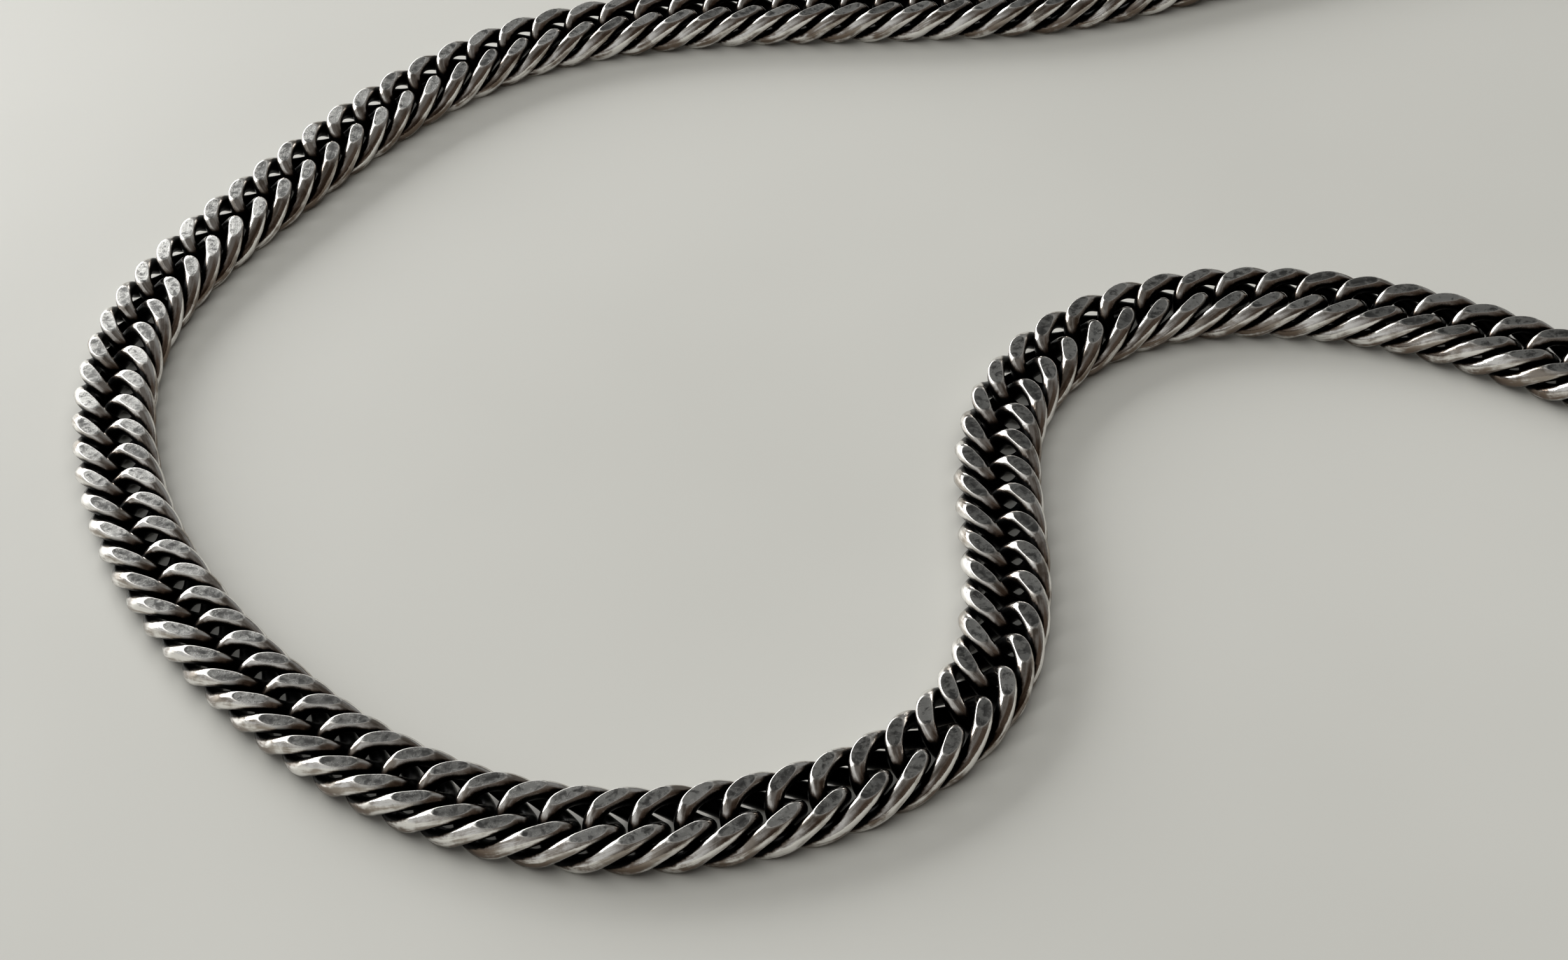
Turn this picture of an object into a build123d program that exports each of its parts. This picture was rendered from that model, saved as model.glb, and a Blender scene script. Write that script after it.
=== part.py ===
"""Double curb necklace, laid open on a table.

The chain is made of identical twisted oval links, each passing through the next two. The links are filed
flat above and below. A lobster clasp hangs on one end and a plain ring on the other.
+X is to the right of the laid-out chain, +Y away from the viewer, +Z up, and the table is at z = 0.
"""
import os
from math import asin, copysign, cos, degrees, radians, sin, sqrt

from build123d import *

# Chain, in millimetres and degrees
PITCH = 3.25                    # advance from one link to the next
WIRE = 1.40                     # wire diameter
LINK_HALF_LENGTH = 4.10         # centre of the link to the wire's centreline at its end
LINK_HALF_WIDTH = 2.76          # the same, at its side
LINK_ROUNDNESS = 2.24           # 2 is an ellipse, more is squarer
LINK_TWIST = 46.6               # how far each end is turned out of the flat
TWIST_GROWTH = 0.88             # how the twist grows from the middle to the end
HALF_THICKNESS = 1.58           # flat faces above and below the chain's mid-plane
STATIONS = 12                   # points that the link's centreline passes through

LINKS_PER_SEGMENT = 3
SEGMENTS = 49

# Way of the chain's middle line across the table
ROUTE = [
    (108, -40.1), (97, -40), (85, -38.8), (74, -36.8), (63, -34.2), (53, -30.2), (44, -24.8),
    (34.4, -17.3), (26.2, -11.9), (16.1, -8.3), (5.8, -8.1), (-2.9, -12.5), (-8.1, -20.6), (-9.5, -30.8),
    (-10.2, -41.5), (-13.3, -50.9), (-20.3, -57.5), (-30.0, -60.8), (-40.5, -60.9), (-50.1, -57.8),
    (-58.4, -52.2), (-65.5, -44.8), (-71.6, -36.3), (-76.4, -27.2), (-79.5, -17.6), (-80.7, -7.5),
    (-79.3, 2.4), (-74.9, 11.2), (-68.7, 19.5), (-61.9, 27.7), (-54.3, 34.6), (-45.8, 39.3), (-36.3, 41.2),
    (-26.1, 41.2), (-15.5, 40.2), (-5.0, 39.3), (5.2, 39.4), (14.7, 41.6), (25, 44.3), (36, 47),
    (47, 48.6), (58, 49), (69, 48.5), (80, 47.9), (92, 47.4), (107, 47.2),
]
ROUTE_SHIFT = (-22.92, 6.08)    # brings the middle of the whole piece to the origin
FIRST_LINK = 2.9                # way along the route of the first link's centre

# Jump rings at both ends of the chain, and the ring that the clasp takes hold of
JUMP_RING_WIRE = 1.0
JUMP_RING_RADIUS = 2.45         # to the wire's centreline
JUMP_RING_REACH = 0.55          # its centre past the end link's wire, along the chain
TABLE_GAP = 0.01
END_RING_WIRE = 1.2
END_RING_RADIUS = 4.0
END_RING_REACH = 0.80           # its near wire past the jump ring's centre

# Lobster clasp, lying flat; distances run from the centre of its eye
EYE_WIRE = 1.0
EYE_RADIUS = 2.4
EYE_REACH = 0.75                # near wire of the eye past the jump ring's centre
CLASP_THICKNESS = 3.1
EDGE_ROUNDING = 1.1
MOUTH_ROUNDING = 0.5
NECK_LENGTH = 1.6               # joins the eye to the housing
NECK_WIDTH = 2.6
NECK_HEIGHT = 1.73
HOUSING = (5.2, 0.0, 2.3)       # x, y and radius of the round end that holds the rivet
HOOK = (12.6, 0.0, 4.5)         # the same for the round end of the hook
MOUTH_NEAR = (10.4, 0.4, 2.3)
MOUTH_FAR = (12.6, 0.4, 2.3)
GATE_DEPTH = 6.0                # open side of the mouth, cut from here out past the clasp's edge
GATE_SLOPE = 1.6                # its far side leans by this much
PIVOT = (5.6, -0.9)
HUB_RADIUS = 1.35
HUB_WALL = 0.3                  # from the hub to the start of the gate
HUB_STEP_MARGIN = 0.05          # the step cut in the hub reaches this far past it
HUB_TOP = 0.10                  # the hub ends here above the mid-plane, to leave room for the spring
LEVER_ROOT = (6.3, -1.9, 0.8)
LEVER_TIP = (12.0, -3.4, 0.75)
SPUR_ROOT = (6.9, -2.4, 0.8)
SPUR_END = (6.1, -4.3, 0.5)
LEVER_THICKNESS = 1.9
LEVER_ROUNDING = 0.25
LEVER_SWING = 24                # degrees, into the mouth
LEVER_GAP = 0.12
SWEEP_STEPS = 6                 # places at which the swinging lever's outline is cut into the slot
SLOT_THICKNESS = 2.1
RIVET_RADIUS = 0.45
RIVET_FIT = 0.04
SPRING_WIRE = 0.26
SPRING_RADIUS = 0.92            # of the coil round the rivet
SPRING_PITCH = 0.33
SPRING_TURNS = 1.6
SPRING_GAP = 0.08               # over the hub

os.makedirs("parts", exist_ok=True)


def link_point(turn):
    """Point on the link's centreline; turn runs in degrees round the link from its +X end."""
    along = cos(radians(turn))
    across = sin(radians(turn))
    x = copysign(abs(along) ** (2 / LINK_ROUNDNESS), along)
    y = copysign(abs(across) ** (2 / LINK_ROUNDNESS), across)
    twist = -radians(LINK_TWIST) * copysign(abs(x) ** TWIST_GROWTH, x)
    return Vector(LINK_HALF_LENGTH * x, LINK_HALF_WIDTH * y * cos(twist), LINK_HALF_WIDTH * y * sin(twist))


def link_direction(turn):
    """Direction of the link's centreline at the same place."""
    return (link_point(turn + 0.5) - link_point(turn - 0.5)).normalized()


def arc_pair(start, start_direction, end, end_direction):
    """Two tangent arcs that join two points in two given directions."""
    chord = end - start
    spread = 2 * (1 - start_direction.dot(end_direction))
    run = chord.dot(start_direction + end_direction)
    reach = (sqrt(run * run + spread * chord.dot(chord)) - run) / spread
    first = start + start_direction * reach
    second = end - end_direction * reach
    middle = (first + second) * 0.5
    TangentArc(start, middle, tangent=start_direction)
    TangentArc(middle, end, tangent=second - first)


def half_wire():
    """Half of a link, swept along its centreline from the +X end to the -X end, before filing."""
    with BuildPart() as half:
        with BuildLine():
            for station in range(STATIONS // 2):
                turn = 360 * station / STATIONS
                following = 360 * (station + 1) / STATIONS
                arc_pair(link_point(turn), link_direction(turn), link_point(following), link_direction(following))
        with BuildSketch(Plane(origin=link_point(0), z_dir=link_direction(0))):
            Circle(WIRE / 2)
        sweep()
    return half.part


# One link: a round wire bent into a twisted oval, filed flat above and below
with BuildPart() as link:
    with PolarLocations(0, 2):
        add(half_wire())
    split(bisect_by=Plane.XY.offset(HALF_THICKNESS), keep=Keep.BOTTOM)
    split(bisect_by=Plane.XY.offset(-HALF_THICKNESS), keep=Keep.TOP)

# The chain, in short runs of interlocked links
with BuildLine() as route:
    Spline(*[(x + ROUTE_SHIFT[0], y + ROUTE_SHIFT[1], HALF_THICKNESS) for x, y in ROUTE])
way = route.edge()


def link_plane(number):
    """Plane of a link in the chain: X along the chain, Z up."""
    share = (FIRST_LINK + PITCH * number) / way.length
    return Plane(origin=way @ share, x_dir=way % share, z_dir=(0, 0, 1))


for segment_number in range(SEGMENTS):
    first = segment_number * LINKS_PER_SEGMENT
    places = [Location(link_plane(first + step)) for step in range(LINKS_PER_SEGMENT)]
    name = f"chain_segment_{segment_number + 1:02d}"
    with BuildPart() as segment:
        with Locations(*places):
            add(link.part)
    segment.part.label = name
    export_step(segment.part, f"parts/{name}.step")


# Ends of the chain: planes with X pointing away from the chain
first_link = link_plane(0)
clasp_end = Plane(origin=first_link.origin, x_dir=-first_link.x_dir, z_dir=(0, 0, 1))
ring_end = link_plane(SEGMENTS * LINKS_PER_SEGMENT - 1)


def jump_ring_plane(end):
    """Plane of the jump ring at an end: square to the end link's wire, and standing on the table."""
    tilt = radians(LINK_TWIST)
    lowest = JUMP_RING_RADIUS * cos(tilt) + JUMP_RING_WIRE / 2
    rise = TABLE_GAP + lowest - HALF_THICKNESS
    centre = Vector(LINK_HALF_LENGTH + JUMP_RING_REACH, rise * sin(tilt) / cos(tilt), rise)
    normal = end.from_local_coords(link_direction(0)) - end.origin
    return Plane(origin=end.from_local_coords(centre), x_dir=end.x_dir, z_dir=normal)


for name, end in [("clasp_jump_ring", clasp_end), ("ring_jump_ring", ring_end)]:
    with BuildPart(jump_ring_plane(end)) as jump_ring:
        Torus(JUMP_RING_RADIUS, JUMP_RING_WIRE / 2)
    jump_ring.part.label = name
    export_step(jump_ring.part, f"parts/{name}.step")


def leaning_plane(end, reach, size, half_height):
    """Plane that starts inside the jump ring and leans down to the table, size further on."""
    held = jump_ring_plane(end).origin
    drop = held.Z - half_height - TABLE_GAP
    lean = degrees(asin(drop / size))
    return Plane(origin=held + end.x_dir * reach, x_dir=end.x_dir, z_dir=(0, 0, 1)).rotated((0, lean, 0))


with BuildPart(leaning_plane(ring_end, END_RING_REACH, 2 * END_RING_RADIUS, END_RING_WIRE / 2)) as end_ring:
    with Locations((END_RING_RADIUS, 0, 0)):
        Torus(END_RING_RADIUS, END_RING_WIRE / 2)
end_ring.part.label = "end_ring"
export_step(end_ring.part, "parts/end_ring.step")

# Lobster clasp. Its plane has its origin at the centre of the eye
clasp_start = leaning_plane(clasp_end, EYE_REACH, EYE_RADIUS + HOOK[0] + HOOK[2], CLASP_THICKNESS / 2)
clasp = Plane(origin=clasp_start.from_local_coords(Vector(EYE_RADIUS, 0, 0)),
              x_dir=clasp_start.x_dir, z_dir=clasp_start.z_dir)


def disc(place, margin=0.0):
    """A circle given as x, y and radius, with a margin round it."""
    with Locations((place[0], place[1])):
        Circle(place[2] + margin)


def bar(first_end, second_end, margin=0.0):
    """The outline round two circles, as a filled sketch."""
    with BuildSketch(mode=Mode.PRIVATE) as outline:
        disc(first_end, margin)
        disc(second_end, margin)
        make_hull()
    return outline.sketch


def lever_outline(margin=0.0):
    """The lever seen from above: hub, arm and thumb spur."""
    hub = (PIVOT[0], PIVOT[1], HUB_RADIUS)
    with BuildSketch(mode=Mode.PRIVATE) as outline:
        disc(hub, margin)
        add(bar(LEVER_ROOT, LEVER_TIP, margin))
        add(bar(SPUR_ROOT, SPUR_END, margin))
    return outline.sketch


def lever_sweep(margin):
    """All that the lever passes over, from shut to open."""
    shut = lever_outline(margin)
    with BuildSketch(mode=Mode.PRIVATE) as outline:
        for step in range(SWEEP_STEPS + 1):
            angle = LEVER_SWING * step / SWEEP_STEPS
            add(shut.rotate(Axis((PIVOT[0], PIVOT[1], 0), (0, 0, 1)), angle))
    return outline.sketch


gate_start = PIVOT[0] + HUB_RADIUS + HUB_WALL
gate_length = LEVER_TIP[0] - gate_start
upright = Axis(clasp.origin, clasp.z_dir)
with BuildPart() as clasp_body:
    with BuildSketch(clasp.offset(-CLASP_THICKNESS / 2)):
        add(bar(HOUSING, HOOK))
    extrude(amount=CLASP_THICKNESS)
    fillet(clasp_body.edges(), radius=EDGE_ROUNDING)
    # The mouth that the end ring goes into
    with BuildSketch(clasp.offset(-CLASP_THICKNESS / 2)):
        add(bar(MOUTH_NEAR, MOUTH_FAR))
    extrude(amount=CLASP_THICKNESS, mode=Mode.SUBTRACT)
    fillet(clasp_body.edges(Select.LAST).filter_by(upright, reverse=True), radius=MOUTH_ROUNDING)
    # The slot for the lever in the housing, and the open side of the mouth in front of it
    with BuildSketch(clasp.offset(-SLOT_THICKNESS / 2)):
        add(lever_sweep(LEVER_GAP))
    extrude(amount=SLOT_THICKNESS, mode=Mode.SUBTRACT)
    with BuildSketch(clasp.offset(-CLASP_THICKNESS / 2)):
        with Locations((gate_start, MOUTH_NEAR[1])):
            Polygon((0, 0), (gate_length + GATE_SLOPE, 0), (gate_length, -GATE_DEPTH), (0, -GATE_DEPTH), align=None)
    extrude(amount=CLASP_THICKNESS, mode=Mode.SUBTRACT)
    # The eye that the jump ring goes through, and the neck that carries it
    with Locations(clasp.location):
        Torus(EYE_RADIUS, EYE_WIRE / 2)
    with BuildSketch(Plane(origin=clasp.from_local_coords(Vector(EYE_RADIUS, 0, 0)), z_dir=clasp.x_dir)):
        Ellipse(NECK_WIDTH / 2, NECK_HEIGHT / 2)
    extrude(amount=NECK_LENGTH)
    # The rivet's hole
    with BuildSketch(clasp.offset(-CLASP_THICKNESS / 2)):
        with Locations(PIVOT):
            Circle(RIVET_RADIUS + RIVET_FIT)
    extrude(amount=CLASP_THICKNESS, mode=Mode.SUBTRACT)
clasp_body.part.label = "clasp_body"
export_step(clasp_body.part, "parts/clasp_body.step")

with BuildPart() as clasp_lever:
    with BuildSketch(clasp.offset(-LEVER_THICKNESS / 2)):
        add(lever_outline())
    extrude(amount=LEVER_THICKNESS)
    fillet(clasp_lever.edges().filter_by(upright, reverse=True), radius=LEVER_ROUNDING)
    # The hub is cut down on one side for the spring, and bored for the rivet
    with BuildSketch(clasp.offset(HUB_TOP)):
        with Locations(PIVOT):
            Circle(HUB_RADIUS + HUB_STEP_MARGIN)
    extrude(amount=LEVER_THICKNESS, mode=Mode.SUBTRACT)
    with BuildSketch(clasp.offset(-LEVER_THICKNESS / 2)):
        with Locations(PIVOT):
            Circle(RIVET_RADIUS + RIVET_FIT)
    extrude(amount=LEVER_THICKNESS, mode=Mode.SUBTRACT)
clasp_lever.part.label = "clasp_lever"
export_step(clasp_lever.part, "parts/clasp_lever.step")

with BuildPart() as clasp_rivet:
    with BuildSketch(clasp.offset(-CLASP_THICKNESS / 2)):
        with Locations(PIVOT):
            Circle(RIVET_RADIUS)
    extrude(amount=CLASP_THICKNESS)
clasp_rivet.part.label = "clasp_rivet"
export_step(clasp_rivet.part, "parts/clasp_rivet.step")

# Spring: an open coil round the rivet, on the step of the hub
spring_foot = clasp.from_local_coords(Vector(PIVOT[0], PIVOT[1], HUB_TOP + SPRING_GAP + SPRING_WIRE / 2))
with BuildPart() as clasp_spring:
    with BuildLine(Plane(origin=spring_foot, x_dir=clasp.x_dir, z_dir=clasp.z_dir)) as coil:
        Helix(SPRING_PITCH, SPRING_PITCH * SPRING_TURNS, SPRING_RADIUS)
    with BuildSketch(Plane(origin=coil.line @ 0, z_dir=coil.line % 0)):
        Circle(SPRING_WIRE / 2)
    sweep(is_frenet=True)
clasp_spring.part.label = "clasp_spring"
export_step(clasp_spring.part, "parts/clasp_spring.step")
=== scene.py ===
"""Double curb necklace in oxidised silver, laid on a pale table and lit by a window at the upper left."""

import math
import random

import bpy
import numpy as np
from mathutils import Matrix, Vector
from mathutils.bvhtree import BVHTree


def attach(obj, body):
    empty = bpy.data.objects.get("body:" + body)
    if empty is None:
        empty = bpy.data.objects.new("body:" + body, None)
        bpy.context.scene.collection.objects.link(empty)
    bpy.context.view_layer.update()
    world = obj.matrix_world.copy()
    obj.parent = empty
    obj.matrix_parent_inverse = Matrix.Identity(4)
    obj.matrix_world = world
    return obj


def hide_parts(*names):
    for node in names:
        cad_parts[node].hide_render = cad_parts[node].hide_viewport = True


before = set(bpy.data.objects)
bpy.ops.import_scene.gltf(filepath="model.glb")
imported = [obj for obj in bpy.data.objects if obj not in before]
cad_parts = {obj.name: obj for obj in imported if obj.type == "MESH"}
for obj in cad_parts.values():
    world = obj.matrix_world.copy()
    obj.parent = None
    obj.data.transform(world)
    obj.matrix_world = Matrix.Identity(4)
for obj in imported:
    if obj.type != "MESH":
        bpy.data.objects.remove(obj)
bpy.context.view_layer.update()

MM = 0.001

# The link, as the CAD has it
PITCH = 3.25 * MM
WIRE_RADIUS = 0.70 * MM
LINK_HALF_LENGTH = 4.10 * MM
LINK_HALF_WIDTH = 2.76 * MM
LINK_ROUNDNESS = 2.24
LINK_TWIST = math.radians(46.6)
TWIST_GROWTH = 0.88
HALF_THICKNESS = 1.58 * MM

# Mesh of the link
STATIONS = 120                  # rings of vertices round the link
FINE_STEPS = 2880               # steps that the link's length is measured in
SIDE_ROWS = 4                   # rows on each side of the wire, between the filed faces
RIM_ROUNDING = 0.035 * MM       # how far the filed rims are worn round
RIM_SHINE = 0.072 * MM          # half width of the bright line round a filed face
INNER_ROW = 2.2                 # place of the row inside the rim, in half widths of the rim
WIDEST_RIM = 0.3                # most of the cap's half angle that the rim may take
LEAST_CAP = 0.30                # half angle of the top rows where the wire isn't filed, in radians
LEAST_SLOPE = 0.2               # least slope that a distance to the rim is worked out with
TINY = 1e-15

# How hidden a point on a link is
NEIGHBOURS = 4                  # links looked at on each side
SIGHT_LINES = 96
SIGHT_LENGTH = 1.2 * PITCH
SIGHT_START = 0.02 * MM
LEAST_FACING = 0.05

# Where the painted shade low on the wire starts and is full, down from the top of the chain
LOW_SHADE_START = 0.8 * MM
LOW_SHADE_FULL = 1.9 * MM

# Silver, bare and tarnished; the brown and black also stand in for painted shade in the hollows and low down
BRIGHT_SILVER = (0.96, 0.94, 0.91, 1)
WARM_SILVER = (0.38, 0.335, 0.29, 1)
OXIDE_AND_SHADE_BROWN = (0.17, 0.125, 0.095, 1)
OXIDE_AND_SHADE_BLACK = (0.004, 0.004, 0.004, 1)
RIM_SILVER = (1.0, 0.98, 0.94, 1)
FILED_LIGHT = (0.47, 0.47, 0.455, 1)
FILED_GREY = (0.27, 0.27, 0.26, 1)
FILED_DARK = (0.10, 0.10, 0.098, 1)

# Where one look gives way to another: the value it starts at and the value it is full at
BAND_SHARE = 1.3                # share of the broad lengthwise bands in the rubbed look
STREAK_SHARE = 0.7              # and of the fine streaks
RUBBED = (1.28, 1.62)
# The next two set the painted shade low on the wire: its range in the streaks, and its most
LOW_SHADE = (1.70, 1.36)
MOST_LOW_SHADE = 0.9
WOBBLE = 0.36                   # how far clouds shift the edge of the tarnish and painted shade, in all
# Brown and then black in the hollows: partly oxide, partly painted shade
BROWN = (0.09, 0.26)
BLACK = (0.13, 0.31)
BLOTCHED = (0.41, 0.55)
TONE_SHARE = -0.09              # what a link's tone takes off its blotches
WORN = (0.25, 0.5)
LEAST_WORN = 0.5
POLISH = (0.08, 0.17)           # roughness of the bare wire, least and most
DULLNESS = 0.24                 # roughness that the black adds
FILED_DULLNESS = 0.45           # share of that on the filed faces
RIM_DULLNESS = 0.27             # roughness that the worn rim adds
GRAIN = (0.3, 0.7)              # range of the fine grain that roughness follows
STREAK_LENGTH = 0.10            # scale of the drawing marks along the wire

# Relief
RELIEF = 0.03 * MM              # height of the fine relief on every metal surface
WIRE_RELIEF = 0.40              # share of it on the bare wire
FILED_RELIEF = 0.18             # and on the filed faces
FITTING_RELIEF = 0.30
GRAIN_HEIGHT = 0.45             # heights of the kinds of relief beside the blotches'
STREAK_HEIGHT = 1.4
SCRATCH_HEIGHT = 0.6

# Clasp and rings: bright colour, dark colour and least roughness
FITTING_SILVER = ((0.62, 0.60, 0.56, 1), (0.30, 0.28, 0.25, 1), 0.16)
LEVER_SILVER = ((0.68, 0.66, 0.62, 1), (0.40, 0.38, 0.35, 1), 0.14)
SPRING_SILVER = ((0.5, 0.5, 0.5, 1), (0.3, 0.3, 0.3, 1), 0.2)
FITTING_HAZE = 0.16             # roughness that the grain adds
DARKENED = (0.40, 0.66)
EDGED = (0.49, 0.56)

# Table
TABLE_HALF = 3.0
TABLE_DARK = (0.585, 0.585, 0.555, 1)
TABLE_LIGHT = (0.625, 0.625, 0.595, 1)
TABLE_ROUGHNESS = 0.42
TABLE_SHEEN = 0.22

# Room and lights
ROOM_DARK = (0.050, 0.036, 0.027, 1)
ROOM_BACK = (0.19, 0.19, 0.185, 1)
ROOM_LEFT = (0.44, 0.44, 0.43, 1)
CEILING = (0.10, 0.092, 0.084, 1)
FRONT_TO_BACK = (-0.15, 0.75)
RIGHT_TO_LEFT = (0.35, -0.75)
WALL_TO_CEILING = (0.66, 0.95)
LIT_PLACE = (-0.02, 0.0, 0.0)
WINDOW_PLACE = (-0.94, 0.98, 0.50)
WINDOW_SIZE = (1.3, 0.75)
WINDOW_POWER = 23.5
WINDOW_COLOUR = (1.0, 0.995, 0.98)
FILL_PLACE = (-0.02, 0.0, 1.3)
FILL_SIZE = (1.6, 1.6)
FILL_POWER = 9.5
FILL_COLOUR = (1.0, 0.995, 0.96)

# Camera, set at the photograph's viewing angle
AIM = Vector((-48.94, -21.02, 3.2)) * MM
CAMERA_DISTANCE = 250.1 * MM
ELEVATION = math.radians(41.48)
ROLL = math.radians(4.73)
LENS = 73.46
SENSOR = 36.0
NEAREST = 0.01


# ---------------------------------------------------------------- the link's shape

def signed_power(value, power):
    return np.sign(value) * np.abs(value) ** power


def centreline(turn):
    """Points on the link's centreline, turn in radians from its +X end."""
    x = signed_power(np.cos(turn), 2 / LINK_ROUNDNESS)
    y = signed_power(np.sin(turn), 2 / LINK_ROUNDNESS)
    twist = -LINK_TWIST * signed_power(x, TWIST_GROWTH)
    across = LINK_HALF_WIDTH * y
    return np.stack([LINK_HALF_LENGTH * x, across * np.cos(twist), across * np.sin(twist)], axis=1)


def even_stations(count):
    """Points at equal steps along the closed centreline."""
    fine = centreline(np.linspace(0, 2 * np.pi, FINE_STEPS + 1))
    steps = np.linalg.norm(np.diff(fine, axis=0), axis=1)
    way = np.concatenate([[0], np.cumsum(steps)])
    wanted = np.linspace(0, way[-1], count, endpoint=False)
    return np.stack([np.interp(wanted, way, fine[:, axis]) for axis in range(3)], axis=1)


def soft_limit(height, limit, rounding):
    """The height cut off at a limit, with the corner rounded."""
    over = height - limit
    bend = (over + rounding) ** 2 / (4 * rounding)
    cut = np.where(over > rounding, over, np.where(over < -rounding, 0, bend))
    return height - cut


def cap_angles(centre_height, reach):
    """Half angle of the filed cap at a station, and the rim's half angle beside it."""
    cosine = np.clip((HALF_THICKNESS - centre_height) / reach, -1, 1)
    cap = max(math.acos(cosine), LEAST_CAP)
    rim = min(RIM_ROUNDING / (WIRE_RADIUS * math.sin(cap)), WIDEST_RIM * cap)
    return cap, rim


def cap_rows(cap, rim):
    """Angles of a cap's rows, closest together at the rim."""
    inner = [cap - INNER_ROW * rim, cap - rim, cap, cap + rim]
    return [-angle for angle in reversed(inner)] + [0.0] + inner


def ring_angles(top, bottom):
    """Angles of one ring of vertices: the top cap, a side, the bottom cap and the other side."""
    top_rows = cap_rows(*top)
    bottom_rows = [math.pi + angle for angle in cap_rows(*bottom)]
    side = np.linspace(top_rows[-1], bottom_rows[0], SIDE_ROWS + 2)[1:-1]
    other = np.linspace(bottom_rows[-1], 2 * math.pi + top_rows[0], SIDE_ROWS + 2)[1:-1]
    return np.concatenate([top_rows, side, bottom_rows, other])


def link_shape():
    """Vertices and quads of one link.

    Also each vertex's distance outside the edge of the filed face, and its place on the wire before bending.
    """
    centres = even_stations(STATIONS)
    step = np.linalg.norm(centres[1] - centres[0])
    tangents = np.roll(centres, -1, axis=0) - np.roll(centres, 1, axis=0)
    tangents /= np.linalg.norm(tangents, axis=1)[:, None]
    rings = []
    edges = []
    straight = []
    for station, (centre, tangent) in enumerate(zip(centres, tangents)):
        up = np.array([0, 0, 1]) - tangent * tangent[2]
        flatness = np.linalg.norm(up)
        up /= flatness
        side = np.cross(tangent, up)
        reach = WIRE_RADIUS * flatness
        angles = ring_angles(cap_angles(centre[2], reach), cap_angles(-centre[2], reach))
        round_wire = centre + WIRE_RADIUS * (np.outer(np.cos(angles), up) + np.outer(np.sin(angles), side))
        filed = round_wire.copy()
        filed[:, 2] = soft_limit(filed[:, 2], HALF_THICKNESS, RIM_ROUNDING)
        filed[:, 2] = -soft_limit(-filed[:, 2], HALF_THICKNESS, RIM_ROUNDING)
        rings.append(filed)
        slope = np.sqrt(1 - (flatness * np.cos(angles)) ** 2)
        edges.append((HALF_THICKNESS - np.abs(round_wire[:, 2])) / np.maximum(slope, LEAST_SLOPE))
        along = np.full(len(angles), station * step)
        straight.append(np.stack([along, WIRE_RADIUS * np.cos(angles), WIRE_RADIUS * np.sin(angles)], axis=1))
    return np.concatenate(rings), ring_quads(len(rings[0])), np.concatenate(edges), np.concatenate(straight)


def ring_quads(rows):
    """Quads between each ring of vertices and the next, all the way round the link."""
    quads = []
    for station in range(STATIONS):
        here = station * rows
        following = ((station + 1) % STATIONS) * rows
        for row in range(rows):
            next_row = (row + 1) % rows
            quads.append((here + row, here + next_row, following + next_row, following + row))
    return quads


# ---------------------------------------------------------------- where tarnish and painted shade gather

def sphere_directions(count):
    """Directions spread evenly over a sphere."""
    golden = math.pi * (3 - math.sqrt(5))
    directions = []
    for number in range(count):
        height = 1 - 2 * (number + 0.5) / count
        radius = math.sqrt(1 - height * height)
        turn = golden * number
        directions.append(Vector((radius * math.cos(turn), radius * math.sin(turn), height)))
    return directions


def vertex_normals(points, quads):
    first = points[[quad[2] for quad in quads]] - points[[quad[0] for quad in quads]]
    second = points[[quad[3] for quad in quads]] - points[[quad[1] for quad in quads]]
    face_normals = np.cross(first, second)
    normals = np.zeros_like(points)
    for corner in range(4):
        np.add.at(normals, [quad[corner] for quad in quads], face_normals)
    return normals / np.maximum(np.linalg.norm(normals, axis=1), TINY)[:, None]


def crowding(points, quads, normals, neighbours):
    """How hidden each vertex is among its neighbours in a straight chain: 0 in the open, 1 enclosed. It sets
    where oxide and painted shade darken the hollows.
    """
    chain_points = []
    chain_quads = []
    for neighbour in neighbours:
        start = len(chain_points)
        shifted = points + np.array([PITCH * neighbour, 0, 0])
        chain_quads += [tuple(start + index for index in quad) for quad in quads]
        chain_points += shifted.tolist()
    tree = BVHTree.FromPolygons(chain_points, chain_quads)
    directions = sphere_directions(SIGHT_LINES)
    hidden = []
    for point, normal in zip(points, normals):
        origin = Vector(point + normal * SIGHT_START)
        outward = Vector(normal)
        blocked = 0.0
        total = 0.0
        for direction in directions:
            facing = direction.dot(outward)
            if facing <= LEAST_FACING:
                continue
            total += facing
            distance = tree.ray_cast(origin, direction, SIGHT_LENGTH)[3]
            if distance is not None:
                blocked += facing * (1 - distance / SIGHT_LENGTH)
        hidden.append(blocked / total)
    return np.array(hidden)


# ---------------------------------------------------------------- placing the links

def islands(mesh):
    """Middle of each separate solid in a mesh, from its box."""
    points = np.empty(len(mesh.vertices) * 3, dtype=np.float32)
    mesh.vertices.foreach_get("co", points)
    unique, same = np.unique(points.reshape(-1, 3), axis=0, return_inverse=True)
    edges = np.empty(len(mesh.edges) * 2, dtype=np.int32)
    mesh.edges.foreach_get("vertices", edges)
    first, second = same.ravel()[edges.reshape(-1, 2)].T
    labels = np.arange(len(unique))
    while True:
        lower = np.minimum(labels[first], labels[second])
        before = labels.copy()
        np.minimum.at(labels, first, lower)
        np.minimum.at(labels, second, lower)
        labels = labels[labels]
        if np.array_equal(before, labels):
            break
    solids = [unique[labels == label] for label in np.unique(labels)]
    return [Vector((solid.min(axis=0) + solid.max(axis=0)).tolist()) / 2 for solid in solids]


def on_either_side(items, number):
    """The items before and after a place in a row, or the item itself at an end."""
    return items[max(number - 1, 0)], items[min(number + 1, len(items) - 1)]


def chain_places(names):
    """Middle of every link in order along the chain, and the segment it belongs to."""
    groups = [(name, islands(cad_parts[name].data)) for name in names]
    means = [sum(middles, Vector()) / len(middles) for _, middles in groups]
    places = []
    for number, (name, middles) in enumerate(groups):
        before, after = on_either_side(means, number)
        along = after - before
        for middle in sorted(middles, key=lambda place: place.dot(along)):
            places.append((name, middle))
    return places


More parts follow.
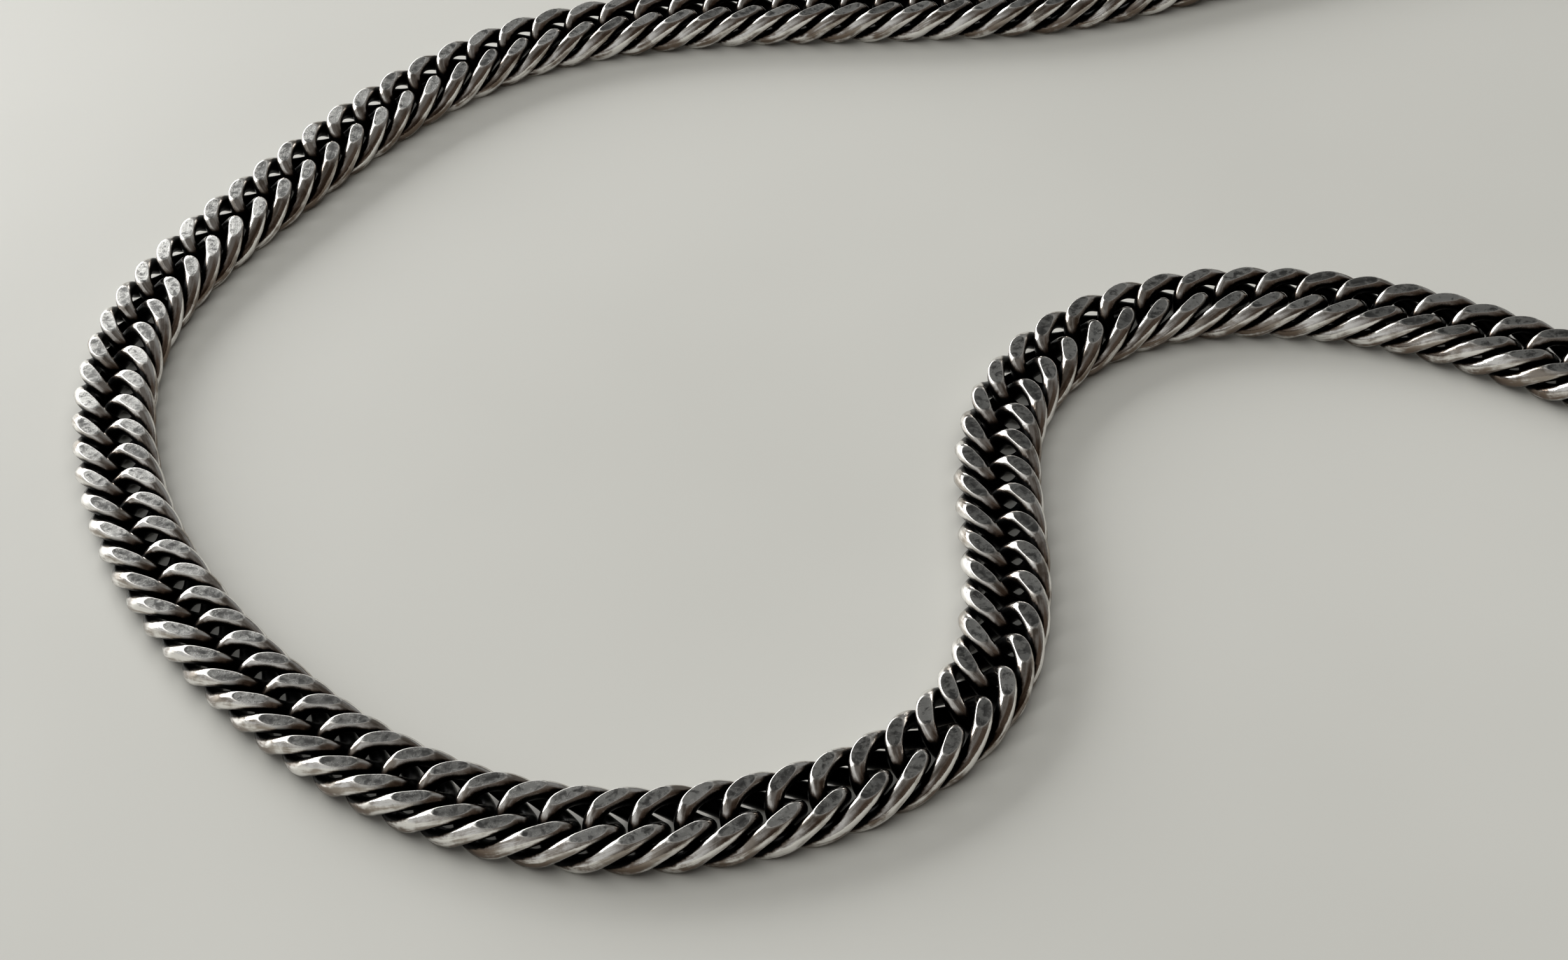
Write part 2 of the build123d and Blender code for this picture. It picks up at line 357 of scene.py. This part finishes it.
def link_matrices(places):
    """Place and heading of every link; the heading comes from the links on either side."""
    matrices = []
    for number, (_, middle) in enumerate(places):
        before, after = on_either_side(places, number)
        along = after[1] - before[1]
        heading = Matrix.Rotation(math.atan2(along.y, along.x), 4, "Z")
        matrices.append(Matrix.Translation((middle.x, middle.y, HALF_THICKNESS)) @ heading)
    return matrices


# ---------------------------------------------------------------- shader nodes

def feed(tree, socket, given):
    """Sets a socket from a value, or joins it to another node's output."""
    if isinstance(given, bpy.types.NodeSocket):
        tree.links.new(given, socket)
    else:
        socket.default_value = given


def attribute(tree, name, output="Fac"):
    node = tree.nodes.new("ShaderNodeAttribute")
    node.attribute_name = name
    return node.outputs[output]


def object_place(tree):
    return tree.nodes.new("ShaderNodeTexCoord").outputs["Object"]


def blend(tree, factor, dark, light):
    """Mix of two colours by a factor."""
    node = tree.nodes.new("ShaderNodeMix")
    node.data_type = "RGBA"
    for number, given in ((0, factor), (6, dark), (7, light)):
        feed(tree, node.inputs[number], given)
    return node.outputs[2]


def maths(tree, operation, *givens):
    node = tree.nodes.new("ShaderNodeMath")
    node.operation = operation
    for socket, given in zip(node.inputs, givens):
        feed(tree, socket, given)
    return node.outputs[0]


def spread(tree, given, low, high, new_low=0.0, new_high=1.0):
    """The range low..high mapped smoothly to new_low..new_high."""
    node = tree.nodes.new("ShaderNodeMapRange")
    node.interpolation_type = "SMOOTHSTEP"
    for socket, value in zip(node.inputs, (given, low, high, new_low, new_high)):
        feed(tree, socket, value)
    return node.outputs[0]


def noise(tree, place, scale, detail, roughness, distortion=0.0):
    node = tree.nodes.new("ShaderNodeTexNoise")
    names = ("Vector", "Scale", "Detail", "Roughness", "Distortion")
    for name, value in zip(names, (place, scale, detail, roughness, distortion)):
        feed(tree, node.inputs[name], value)
    return node.outputs["Fac"]


def new_material(name, metallic):
    """A material's own record, its node tree and its shader."""
    material = bpy.data.materials.new(name)
    material.use_nodes = True
    shader = material.node_tree.nodes["Principled BSDF"]
    shader.inputs["Metallic"].default_value = metallic
    return material, material.node_tree, shader


def add_relief(tree, shader, height, strength):
    bump = tree.nodes.new("ShaderNodeBump")
    feed(tree, bump.inputs["Strength"], strength)
    feed(tree, bump.inputs["Distance"], RELIEF)
    feed(tree, bump.inputs["Height"], height)
    feed(tree, shader.inputs["Normal"], bump.outputs["Normal"])


# ---------------------------------------------------------------- materials

def wire_colour(tree, clouds, bands, streaks, crowd, black):
    """Bare wire: rubbed bright in places, streaked with painted brown shade low down, brown and then black in
    the hollows, partly oxide and partly painted shade.
    """
    drawn = maths(tree, "MULTIPLY_ADD", bands, BAND_SHARE, clouds)
    lined = maths(tree, "MULTIPLY_ADD", streaks, STREAK_SHARE, drawn)
    rubbed = blend(tree, spread(tree, lined, *RUBBED), WARM_SILVER, BRIGHT_SILVER)
    brown = spread(tree, crowd, *BROWN)
    # Painted shade, streaked, darker towards the bottom of the chain
    low_shade = maths(tree, "MULTIPLY", spread(tree, lined, *LOW_SHADE, 0.0, MOST_LOW_SHADE), attribute(tree, "low"))
    # Brown where the hollows are half hidden or low down: oxide and painted shade
    stained_and_shaded = blend(tree, maths(tree, "MAXIMUM", brown, low_shade), rubbed, OXIDE_AND_SHADE_BROWN)
    return blend(tree, black, stained_and_shaded, OXIDE_AND_SHADE_BLACK)


def filed_colour(tree, blotches):
    """Filed faces: each link its own grey, blotched dark."""
    tone = attribute(tree, "tone")
    shade = blend(tree, tone, FILED_GREY, FILED_LIGHT)
    patchy = maths(tree, "MULTIPLY_ADD", tone, TONE_SHARE, blotches)
    return blend(tree, spread(tree, patchy, *BLOTCHED), shade, FILED_DARK)


def oxidised_silver():
    """Silver black in its recesses from oxide and painted shade, darker low down with painted shade, rubbed
    bright where it is touched, grey on its scuffed filed faces.
    """
    material, tree, shader = new_material("oxidised_silver", 1.0)
    place = object_place(tree)
    clouds = noise(tree, place, scale=520, detail=5, roughness=0.6, distortion=0.3)
    grain = noise(tree, place, scale=2600, detail=6, roughness=0.7)
    blotches = noise(tree, place, scale=1250, detail=5, roughness=0.7, distortion=0.5)
    scratches = noise(tree, place, scale=900, detail=2, roughness=0.5, distortion=2.5)
    stretched = tree.nodes.new("ShaderNodeMapping")
    feed(tree, stretched.inputs["Vector"], attribute(tree, "straight", "Vector"))
    feed(tree, stretched.inputs["Scale"], (STREAK_LENGTH, 1, 1))
    streaks = noise(tree, stretched.outputs["Vector"], scale=3600, detail=4, roughness=0.65)
    bands = noise(tree, stretched.outputs["Vector"], scale=1300, detail=3, roughness=0.55)
    filed = attribute(tree, "filed")
    rim = attribute(tree, "rim")

    wobble = maths(tree, "MULTIPLY_ADD", clouds, WOBBLE, -WOBBLE / 2)
    # Brown and black in the hollows: partly real oxide, partly painted shade
    crowd = maths(tree, "ADD", attribute(tree, "hidden"), wobble)
    black = spread(tree, crowd, *BLACK)
    wire = wire_colour(tree, clouds, bands, streaks, crowd, black)
    surface = blend(tree, filed, wire, filed_colour(tree, blotches))
    worn = maths(tree, "MULTIPLY", rim, spread(tree, clouds, *WORN, LEAST_WORN, 1.0))
    feed(tree, shader.inputs["Base Color"], blend(tree, worn, surface, RIM_SILVER))

    polish = spread(tree, grain, *GRAIN, *POLISH)
    dull = maths(tree, "MAXIMUM", maths(tree, "MULTIPLY", filed, FILED_DULLNESS), black)
    rimmed = maths(tree, "MULTIPLY_ADD", rim, RIM_DULLNESS, polish)
    feed(tree, shader.inputs["Roughness"], maths(tree, "MULTIPLY_ADD", dull, DULLNESS, rimmed))

    height = maths(tree, "MULTIPLY_ADD", grain, GRAIN_HEIGHT, blotches)
    height = maths(tree, "MULTIPLY_ADD", streaks, STREAK_HEIGHT, height)
    height = maths(tree, "MULTIPLY_ADD", scratches, SCRATCH_HEIGHT, height)
    strength = maths(tree, "MULTIPLY_ADD", filed, FILED_RELIEF - WIRE_RELIEF, WIRE_RELIEF)
    add_relief(tree, shader, height, strength)
    return material


def worn_silver(name, bright, dark, roughness):
    """Plain silver of the clasp and rings, hazed and darkened in patches and bright on its edges."""
    material, tree, shader = new_material(name, 1.0)
    place = object_place(tree)
    clouds = noise(tree, place, scale=420, detail=5, roughness=0.6, distortion=0.4)
    grain = noise(tree, place, scale=2600, detail=6, roughness=0.7)
    pointed = tree.nodes.new("ShaderNodeNewGeometry").outputs["Pointiness"]
    base = blend(tree, spread(tree, clouds, *DARKENED), bright, dark)
    feed(tree, shader.inputs["Base Color"], blend(tree, spread(tree, pointed, *EDGED), base, RIM_SILVER))
    hazed = spread(tree, grain, *GRAIN, roughness, roughness + FITTING_HAZE)
    feed(tree, shader.inputs["Roughness"], hazed)
    add_relief(tree, shader, grain, FITTING_RELIEF)
    return material


def use_material(names, material):
    for name in names:
        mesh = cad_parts[name].data
        mesh.materials.clear()
        mesh.materials.append(material)


# ---------------------------------------------------------------- the chain

def add_values(mesh, name, values):
    attribute_data = mesh.attributes.new(name, "FLOAT", "POINT").data
    attribute_data.foreach_set("value", np.asarray(values, dtype=np.float32))


def add_vectors(mesh, name, vectors):
    attribute_data = mesh.attributes.new(name, "FLOAT_VECTOR", "POINT").data
    attribute_data.foreach_set("vector", np.asarray(vectors, dtype=np.float32).ravel())


def smooth_step(values, low, high):
    share = np.clip((values - low) / (high - low), 0, 1)
    return share * share * (3 - 2 * share)


def build_chain(material):
    """One detailed piece for each chain segment: its three links, in the places that the CAD gives them."""
    points, quads, edges, straight = link_shape()
    normals = vertex_normals(points, quads)
    hidden_first = crowding(points, quads, normals, range(NEIGHBOURS + 1))
    hidden_middle = crowding(points, quads, normals, range(-NEIGHBOURS, NEIGHBOURS + 1))
    hidden_last = crowding(points, quads, normals, range(-NEIGHBOURS, 1))
    marks = {
        "filed": smooth_step(-edges, 0, RIM_SHINE),
        "rim": np.exp(-(edges / RIM_SHINE) ** 2),
        # how far below the top of the chain a point is, for the painted shade low down
        "low": smooth_step(HALF_THICKNESS - points[:, 2], LOW_SHADE_START, LOW_SHADE_FULL),
    }
    names = sorted(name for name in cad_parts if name.startswith("chain_segment"))
    places = chain_places(names)
    matrices = link_matrices(places)
    chance = random.Random(7)
    for name in names:
        chosen = [matrix for (owner, _), matrix in zip(places, matrices) if owner == name]
        vertices = []
        faces = []
        tones = []
        unbent = []
        hidden = []
        for matrix in chosen:
            start = len(vertices)
            turned = points @ np.array(matrix.to_3x3()).T + np.array(matrix.translation)
            vertices += turned.tolist()
            faces += [tuple(start + index for index in quad) for quad in quads]
            tones += [chance.random()] * len(points)
            unbent.append(straight + np.array([chance.uniform(0, 1), 0, 0]))
            if matrix == matrices[0]:
                hidden.append(hidden_first)
            elif matrix == matrices[-1]:
                hidden.append(hidden_last)
            else:
                hidden.append(hidden_middle)
        mesh = bpy.data.meshes.new(name.replace("chain_segment", "links"))
        mesh.from_pydata(vertices, [], faces)
        mesh.shade_smooth()
        for mark, values in marks.items():
            add_values(mesh, mark, np.tile(values, len(chosen)))
        add_values(mesh, "hidden", np.concatenate(hidden))
        add_values(mesh, "tone", tones)
        add_vectors(mesh, "straight", np.concatenate(unbent))
        mesh.materials.append(material)
        piece = bpy.data.objects.new(mesh.name, mesh)
        bpy.context.scene.collection.objects.link(piece)
        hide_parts(name)
        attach(piece, name)


# ---------------------------------------------------------------- setting

def build_table():
    """Pale table top with a slight sheen."""
    corners = [(x * TABLE_HALF, y * TABLE_HALF, 0) for x, y in ((-1, -1), (1, -1), (1, 1), (-1, 1))]
    mesh = bpy.data.meshes.new("table")
    mesh.from_pydata(corners, [], [(0, 1, 2, 3)])
    table = bpy.data.objects.new("table", mesh)
    bpy.context.scene.collection.objects.link(table)
    material, tree, shader = new_material("pale_table", 0.0)
    clouds = noise(tree, object_place(tree), scale=14, detail=3, roughness=0.5)
    colour = blend(tree, spread(tree, clouds, 0.3, 0.7), TABLE_DARK, TABLE_LIGHT)
    feed(tree, shader.inputs["Base Color"], colour)
    feed(tree, shader.inputs["Roughness"], TABLE_ROUGHNESS)
    feed(tree, shader.inputs["Specular IOR Level"], TABLE_SHEEN)
    mesh.materials.append(material)


def soft_light(name, place, size, power, colour, reflected=True):
    data = bpy.data.lights.new(name, "AREA")
    data.shape = "RECTANGLE"
    data.size, data.size_y = size
    data.energy = power
    data.color = colour
    light = bpy.data.objects.new(name, data)
    light.location = place
    light.rotation_euler = (Vector(LIT_PLACE) - Vector(place)).to_track_quat("-Z", "Y").to_euler()
    light.visible_glossy = reflected
    bpy.context.scene.collection.objects.link(light)


def room_colour(tree):
    """Dim warm room in front, paler at the back and round the window, with a dim ceiling."""
    parts = tree.nodes.new("ShaderNodeSeparateXYZ")
    feed(tree, parts.inputs[0], tree.nodes.new("ShaderNodeTexCoord").outputs["Generated"])
    wall = blend(tree, spread(tree, parts.outputs["Y"], *FRONT_TO_BACK), ROOM_DARK, ROOM_BACK)
    walls = blend(tree, spread(tree, parts.outputs["X"], *RIGHT_TO_LEFT), wall, ROOM_LEFT)
    return blend(tree, spread(tree, parts.outputs["Z"], *WALL_TO_CEILING), walls, CEILING)


def build_lights():
    soft_light("window", WINDOW_PLACE, WINDOW_SIZE, WINDOW_POWER, WINDOW_COLOUR)
    soft_light("ceiling", FILL_PLACE, FILL_SIZE, FILL_POWER, FILL_COLOUR, reflected=False)
    world = bpy.data.worlds.new("room")
    world.use_nodes = True
    background = world.node_tree.nodes["Background"]
    feed(world.node_tree, background.inputs["Color"], room_colour(world.node_tree))
    background.inputs["Strength"].default_value = 1.0
    bpy.context.scene.world = world
    bpy.context.scene.view_settings.view_transform = "Standard"


def build_camera():
    """Camera above the near side of the table, turned a little about its own axis as the photograph's is."""
    forward = Vector((0, math.cos(ELEVATION), -math.sin(ELEVATION)))
    level_right = Vector((1, 0, 0))
    level_up = level_right.cross(forward)
    right = level_right * math.cos(ROLL) - level_up * math.sin(ROLL)
    up = level_up * math.cos(ROLL) + level_right * math.sin(ROLL)
    data = bpy.data.cameras.new("camera")
    data.lens = LENS
    data.sensor_width = SENSOR
    data.clip_start = NEAREST
    camera = bpy.data.objects.new("camera", data)
    turn = Matrix((right, up, -forward)).transposed().to_4x4()
    camera.matrix_world = Matrix.Translation(AIM - forward * CAMERA_DISTANCE) @ turn
    bpy.context.scene.collection.objects.link(camera)
    bpy.context.scene.camera = camera


build_chain(oxidised_silver())
use_material(["clasp_body", "clasp_jump_ring", "ring_jump_ring", "end_ring"],
             worn_silver("silver_fittings", *FITTING_SILVER))
use_material(["clasp_lever", "clasp_rivet"], worn_silver("silver_lever", *LEVER_SILVER))
use_material(["clasp_spring"], worn_silver("spring_wire", *SPRING_SILVER))
build_table()
build_lights()
build_camera()
